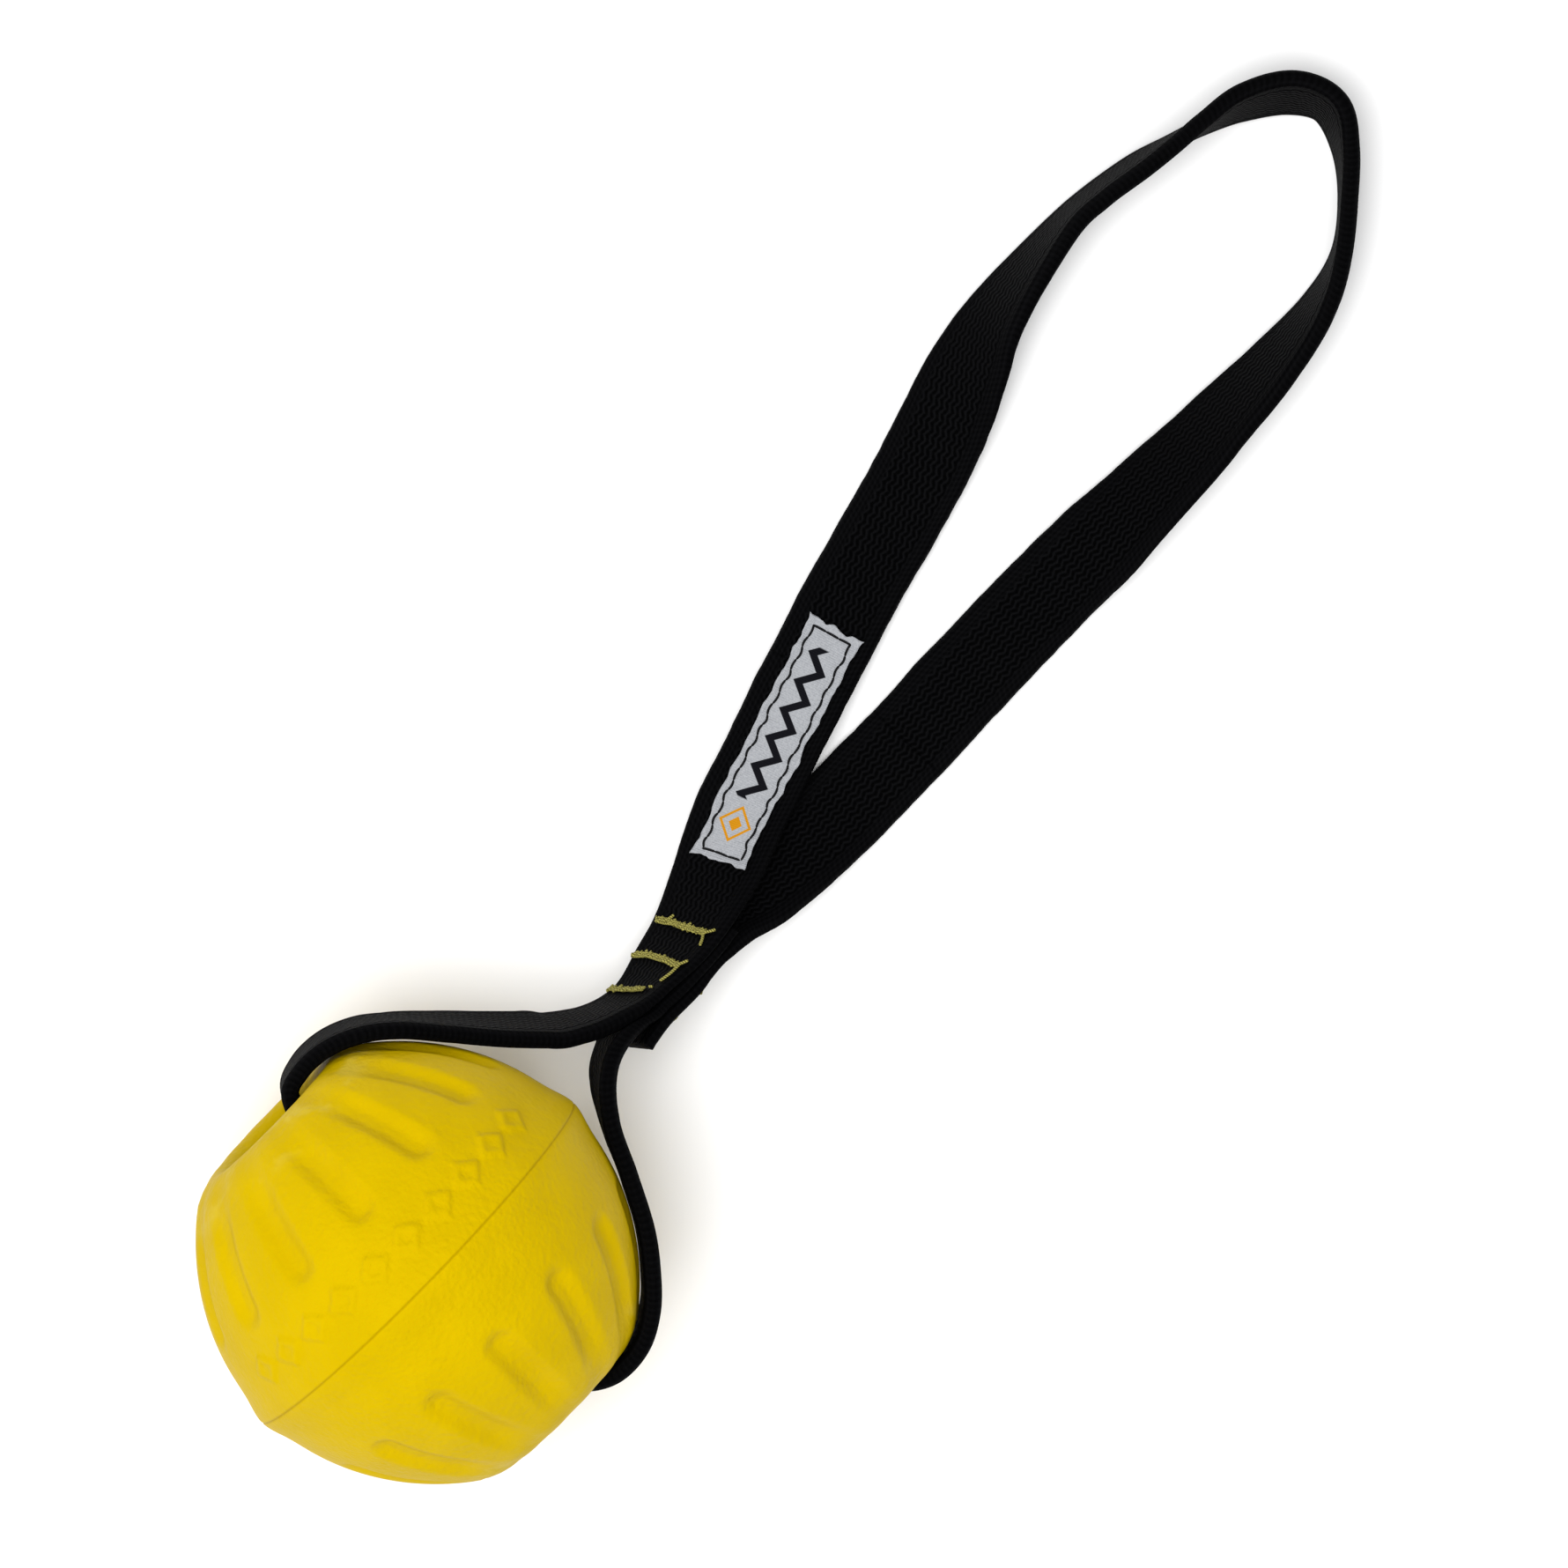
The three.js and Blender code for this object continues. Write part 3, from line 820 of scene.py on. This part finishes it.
def make_webbing():
    material = webbing_material()
    loop_zone = joint_place("loop_flex", STACK_SLOPE, LOOP_REACH)
    handle_zone = joint_place("handle_flex", STACK_SLOPE, HANDLE_REACH)
    fold_zone = joint_place("hand_loop_fold", (1, 0, 0), FOLD_REACH)
    at = strip.length_at
    cuts = {
        "start": 0,
        "right": at("right_strap", 5),
        "left": at("left_strap", 2),
        "stack": at("front_layer", 2),
        "bore": at("bore_run", 0),
        "bore_end": at("right_leg", 0),
        "end": strip.length[-1],
    }
    rows = [
        ("strip_right", "start", "right", ("stitched_stack", "lower_handle"), handle_zone,
         ("webbing_rear_layer", "webbing_right_strap")),
        ("strip_hand_loop", "right", "left", ("lower_handle", "upper_handle"), fold_zone,
         ("webbing_right_strap_upper", "webbing_loop_tip", "webbing_left_strap_upper")),
        ("strip_left", "left", "stack", ("stitched_stack", "lower_handle"), handle_zone,
         ("webbing_left_strap",)),
        ("strip_left_leg", "stack", "bore", ("ball_loop", "stitched_stack"), loop_zone,
         ("webbing_front_layer", "webbing_left_leg")),
        ("strip_bore_run", "bore", "bore_end", ("ball_loop",), None, ("webbing_bore_run",)),
        ("strip_right_leg", "bore_end", "end", ("ball_loop", "stitched_stack"), loop_zone,
         ("webbing_right_leg", "webbing_middle_layer")),
    ]
    for name, start, end, bodies, zone, nodes in rows:
        piece = make_ribbon(name, cuts[start], cuts[end], material)
        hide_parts(*nodes)
        if zone is None:
            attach(piece, bodies[0])
        else:
            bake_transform(piece)


# ------------------------------------------------------------------ threads

THREAD_SIDES = 7
THREAD_TIP_SHARE = 0.45


def tube_parts(path, normals, radius):
    """Points, faces and thread values of a closed tube along path, with its ends drawn in."""
    path = np.asarray(path, float)
    travel = np.gradient(path, axis=0)
    travel /= np.linalg.norm(travel, axis=1, keepdims=True)
    side = np.cross(travel, normals)
    side /= np.linalg.norm(side, axis=1, keepdims=True)
    lift = np.cross(side, travel)
    turn = np.linspace(0, 2 * np.pi, THREAD_SIDES, endpoint=False)
    size = np.broadcast_to(np.asarray(radius, float), len(path)).copy()
    size[[0, -1]] *= THREAD_TIP_SHARE
    cosine, sine = np.cos(turn)[None, :, None], np.sin(turn)[None, :, None]
    ring = cosine * side[:, None] + sine * lift[:, None]
    points = (path[:, None] + ring * size[:, None, None]).reshape(-1, 3)
    faces = grid_faces(len(path), THREAD_SIDES).tolist()
    last = (len(path) - 1) * THREAD_SIDES
    faces.append(list(range(THREAD_SIDES))[::-1])
    faces.append([last + k for k in range(THREAD_SIDES)])
    gaps = np.linalg.norm(np.diff(path, axis=0), axis=1)
    along = np.concatenate([[0], np.cumsum(gaps)])
    around = np.tile(turn / np.pi, len(path))
    values = np.stack([np.repeat(along, THREAD_SIDES), around, np.zeros(len(points))], axis=-1)
    return points, faces, values


def join_tubes(tubes):
    points, faces, values = [], [], []
    for tube_points, tube_faces, tube_values in tubes:
        offset = sum(len(p) for p in points)
        points.append(tube_points)
        values.append(tube_values)
        faces += [[index + offset for index in face] for face in tube_faces]
    return np.vstack(points), faces, np.vstack(values)


def surface_path(marks, clearance):
    """A smooth line on the strip's outer face, through marks of length, sideways and extra height."""
    marks = np.asarray(marks, float)
    half = strip.read(strip.thickness, marks[:, 0]) / 2
    points = strip.point(marks[:, 0], marks[:, 1], -(half + clearance + marks[:, 2]))
    normals = -strip.read(strip.inward, marks[:, 0])
    return points, normals


BARTACK_PITCH = 0.62
BARTACK_HALF_WIDTH = 0.55
BARTACK_THREAD = 0.27
# Thread tones with painted shade: the first goes in the twist's grooves, the second on its crests.
BARTACK_SHADE_TONES = ((0.07, 0.055, 0.004, 1), (0.38, 0.35, 0.085, 1))
BULGE_REACH = 2.4
STRANDS = (-0.4, 0.1, 0.5)
FIRST_BARTACK_SEED = 20
# Millimetres along the strip and across it, counted from the bartack's place: the bar's own line, where
# across it bulges and by how much, and its loose ends.
BARTACKS = {
    "front_upper": (
        [(0.8, 7.9), (0.5, 3.1), (0.8, -0.9), (0.8, -4.8), (0.9, -6.6)],
        (-0.9, 0.55),
        [
            [(0.8, -6.0), (2.4, -7.0), (4.0, -7.6)],
            [(0.9, -6.4), (0.3, -7.4), (-0.4, -8.3)],
            [(0.2, 4.6), (-1.2, 3.8)],
        ],
    ),
    "front_middle": (
        [(0.5, 8.4), (-0.5, 2.8), (-0.2, -3.4), (0.2, -7.6)],
        (-4.6, 0.15),
        [[(0.1, -7.7), (2.6, -7.7), (5.0, -6.9)], [(0.3, -7.4), (-1.5, -8.5)]],
    ),
    "front_lower": (
        [(-0.2, 8.9), (-0.2, 2.5), (-1.0, -4.4)],
        (2.0, 0.15),
        [[(-1.6, -5.8), (-1.9, -6.7)]],
    ),
    "rear_upper": (
        [(0.2, 7.4), (-0.4, 0.0), (0.1, -7.2)],
        (2.0, 0.2),
        [[(0.2, 7.0), (1.6, 7.6), (2.8, 7.3)]],
    ),
    "rear_middle": (
        [(0.1, 7.2), (-0.3, 0.0), (0.2, -7.3)],
        (-2.5, 0.3),
        [[(0.2, -7.0), (-1.2, -7.9)]],
    ),
    "rear_lower": (
        [(0.0, 7.3), (-0.3, 0.0), (0.3, -7.2)],
        (1.0, 0.15),
        [[(0.2, 7.0), (1.3, 6.1)]],
    ),
}


def packed_zigzag(length, spine, bulge, draws):
    """The marks of one thread that goes back and forth over the bar's line."""
    bulge_place, bulge_size = bulge
    count = int(abs(spine[-1][1] - spine[0][1]) / BARTACK_PITCH)
    line = catmull_rom(spine, np.linspace(0, len(spine) - 1, count + 1))
    marks = []
    for index, (along, sideways) in enumerate(line):
        bulging = math.exp(-(((sideways - bulge_place) / BULGE_REACH) ** 2))
        thick = BARTACK_HALF_WIDTH + bulge_size * bulging
        thick += draws.uniform(-0.22, 0.22)
        swing = thick if index % 2 else -thick
        stray, height = draws.uniform(-0.1, 0.1), draws.uniform(-0.05, 0.5)
        marks.append([length + along + swing, sideways + stray, height])
    return catmull_rom(marks, np.linspace(0, count, count * 4 + 1))


def bartack_tubes(length, spine, bulge, tails, seed):
    """A bar of packed zigzag thread, the straight strands under it, and its loose ends."""
    draws = random.Random(seed)
    zigzag = packed_zigzag(length, spine, bulge, draws)
    tubes = [tube_parts(*surface_path(zigzag, 0.22), BARTACK_THREAD)]
    for strand in STRANDS:
        line = catmull_rom(spine, np.linspace(0, len(spine) - 1, 9))
        marks = [
            [length + along + strand + draws.uniform(-0.15, 0.15), across, 0.1 + draws.uniform(0, 0.15)]
            for along, across in line
        ]
        fine = catmull_rom(marks, np.linspace(0, len(marks) - 1, 41))
        tubes.append(tube_parts(*surface_path(fine, 0.15), BARTACK_THREAD))
    for tail in tails:
        marks = [
            [length + along, across, 0.3 - 0.3 * index / len(tail)]
            for index, (along, across) in enumerate(tail)
        ]
        fine = catmull_rom(marks, np.linspace(0, len(marks) - 1, 7 * len(marks)))
        tubes.append(tube_parts(*surface_path(fine, 0.25), BARTACK_THREAD * 1.15))
    return tubes


def make_bartacks():
    material = thread_material("bartack_thread", *BARTACK_SHADE_TONES, 0.6)
    for order, (name, (spine, bulge, tails)) in enumerate(BARTACKS.items()):
        side, row_name = name.split("_")
        row = ("upper", "middle", "lower").index(row_name)
        place = ("front_layer", row + 1) if side == "front" else ("rear_layer", 3 - row)
        length = strip.length_at(*place)
        tubes = bartack_tubes(length, spine, bulge, tails, FIRST_BARTACK_SEED + order)
        points, faces, values = join_tubes(tubes)
        piece = mesh_object("thread_bar_" + name, to_row(points), faces, material,
                            point_values={"thread": values})
        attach(piece, "stitched_stack")
        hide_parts("bartack_" + name)


# ------------------------------------------------------------------ label

LABEL_WIDTH = 11.4
LABEL_LENGTH = 53
LABEL_THICKNESS = 0.36
LABEL_LIFT = 0.22
LABEL_SIDEWAYS = -0.3
LABEL_ROWS = 150
LABEL_COLUMNS = 30
STITCH_INSET = 1.45
STITCH_LENGTH = 2.5
STITCH_RADIUS = 0.25
STITCH_HEIGHT = 0.2
# Thread tones with painted shade: the first goes in the twist's grooves, the second on its crests.
STITCH_SHADE_TONES = ((0.0005, 0.0005, 0.0008, 1), (0.004, 0.004, 0.005, 1))
SIDE_SEEDS = (51, 53)
END_SEEDS = (55, 57)
STITCH_SEED = 61
LABEL_CENTRE = strip.length_at("left_strap", 3)


def frayed(count, seed, coarse, fine):
    """How far an edge strays: a coarse and a fine noise, each given by its spacing and size."""
    return soft_noise(count, coarse[0], seed, coarse[1]) + soft_noise(count, fine[0], seed + 1, fine[1])


def label_outline():
    """Along and across of the label's grid, in millimetres from its middle, with frayed, wavy edges."""
    along = np.linspace(-1, 1, LABEL_ROWS)[:, None]
    across = np.linspace(-1, 1, LABEL_COLUMNS)[None, :]
    sides = [frayed(LABEL_ROWS, seed, (7, 0.3), (2.5, 0.1))[:, None] for seed in SIDE_SEEDS]
    ends = [frayed(LABEL_COLUMNS, seed, (4, 0.4), (1.8, 0.14))[None, :] for seed in END_SEEDS]
    corner = 0.55 * np.abs(across) ** 6 * np.abs(along) ** 24
    near_side = smoothstep(np.abs(across), 0.55, 1)
    near_end = smoothstep(np.abs(along), 0.9, 1)
    side_stray = np.where(across > 0, *sides) + corner
    end_stray = np.where(along > 0, *ends) + corner
    wide = across * LABEL_WIDTH / 2 + np.sign(across) * near_side * side_stray
    far = along * LABEL_LENGTH / 2 + np.sign(along) * near_end * end_stray
    return far, wide


def label_height(far, wide):
    """How far the label stands off the webbing: puckered between its stitches, with lifted edges."""
    across = np.abs(wide) / (LABEL_WIDTH / 2)
    lifted = 0.24 * smoothstep(across, 0.8, 1.05) + 0.3 * smoothstep(np.abs(far), 25.1, 26.9)
    coarse = 0.09 * np.cos(2 * np.pi * far / 5.3 + wide)
    fine = 0.07 * np.cos(2 * np.pi * far / 3.1 - 2 * wide)
    ripple = (coarse + fine) * (0.4 + 0.6 * across)
    off_seam = np.abs(wide) - LABEL_WIDTH / 2 + STITCH_INSET
    pinch = -0.12 * np.exp(-((off_seam / 0.35) ** 2))
    return LABEL_LIFT + lifted + ripple + pinch


def make_label():
    far, wide = label_outline()
    lift = label_height(far, wide)
    length, sideways = LABEL_CENTRE + far, wide + LABEL_SIDEWAYS
    half = strip.read(strip.thickness, length) / 2
    top = strip.point(length, sideways, -(half + lift + LABEL_THICKNESS))
    bottom = strip.point(length, sideways, -(half + lift))
    count = LABEL_ROWS * LABEL_COLUMNS
    index = np.arange(count).reshape(LABEL_ROWS, LABEL_COLUMNS)
    corners = (index[:-1, :-1], index[:-1, 1:], index[1:, 1:], index[1:, :-1])
    quads = np.stack(corners, axis=-1).reshape(-1, 4)
    rim = np.concatenate([index[0, :-1], index[:-1, -1], index[-1, :0:-1], index[:0:-1, 0]])
    around = np.roll(rim, -1)
    walls = np.stack([rim, rim + count, around + count, around], axis=-1)
    faces = [*quads.tolist(), *(quads[:, ::-1] + count).tolist(), *walls.tolist()]
    points = to_row(np.vstack([top.reshape(-1, 3), bottom.reshape(-1, 3)]))
    cloth = np.stack([wide, far, np.zeros_like(far)], axis=-1).reshape(-1, 3)
    label = mesh_object("label_tape", points, faces, label_material(),
                        point_values={"cloth": np.vstack([cloth, cloth])})
    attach(label, "lower_handle")
    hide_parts("woven_label")
    return label


def stitch_corners():
    far = LABEL_LENGTH / 2 - STITCH_INSET
    side = LABEL_WIDTH / 2 - STITCH_INSET
    return [(-far, -side), (far, -side), (far, side), (-far, side)]


def label_stitch_tubes():
    """Running stitches round the label, each a short arch whose ends sink into the cloth."""
    draws = random.Random(STITCH_SEED)
    corners = stitch_corners()
    tubes = []
    for start, end in zip(corners, corners[1:] + corners[:1]):
        start, end = np.array(start), np.array(end)
        run = np.linalg.norm(end - start)
        count = round(run / STITCH_LENGTH)
        holes = [start + (end - start) * k / count for k in range(count + 1)]
        holes = [hole + [draws.uniform(-0.2, 0.2), draws.uniform(-0.16, 0.16)] for hole in holes]
        for index, (first, second) in enumerate(zip(holes, holes[1:])):
            share = np.linspace(-0.03, 1.03, 9)[:, None]
            line = first + (second - first) * share
            slant = draws.uniform(0.12, 0.34) * np.sin(np.pi * share) * (-1) ** index
            rise = STITCH_HEIGHT * np.sin(np.pi * share[:, 0]) - 0.02
            line = line + slant * np.array([0, 1]) * (run > LABEL_WIDTH)
            lift = label_height(line[:, 0], line[:, 1]) + LABEL_THICKNESS
            length, sideways = LABEL_CENTRE + line[:, 0], line[:, 1] + LABEL_SIDEWAYS
            marks = np.column_stack([length, sideways, lift + rise])
            tubes.append(tube_parts(*surface_path(marks, 0), STITCH_RADIUS))
    return tubes


def make_label_stitches():
    material = thread_material("black_thread", *STITCH_SHADE_TONES, 0.7)
    points, faces, values = join_tubes(label_stitch_tubes())
    stitches = mesh_object("label_stitches", to_row(points), faces, material,
                           point_values={"thread": values})
    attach(stitches, "lower_handle")
    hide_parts("label_stitching")
    return stitches


# ------------------------------------------------------------------ floor


FLOOR_REACH = 6.0


def make_floor():
    signs = [(-1, -1), (1, -1), (1, 1), (-1, 1)]
    points = [(x * FLOOR_REACH, y * FLOOR_REACH, FLOOR_Z) for x, y in signs]
    floor = mesh_object("floor", points, [(0, 1, 2, 3)], floor_material())


make_camera()
make_studio()
make_floor()
make_ball()
make_webbing()
make_bartacks()
label = make_label()
stitches = make_label_stitches()
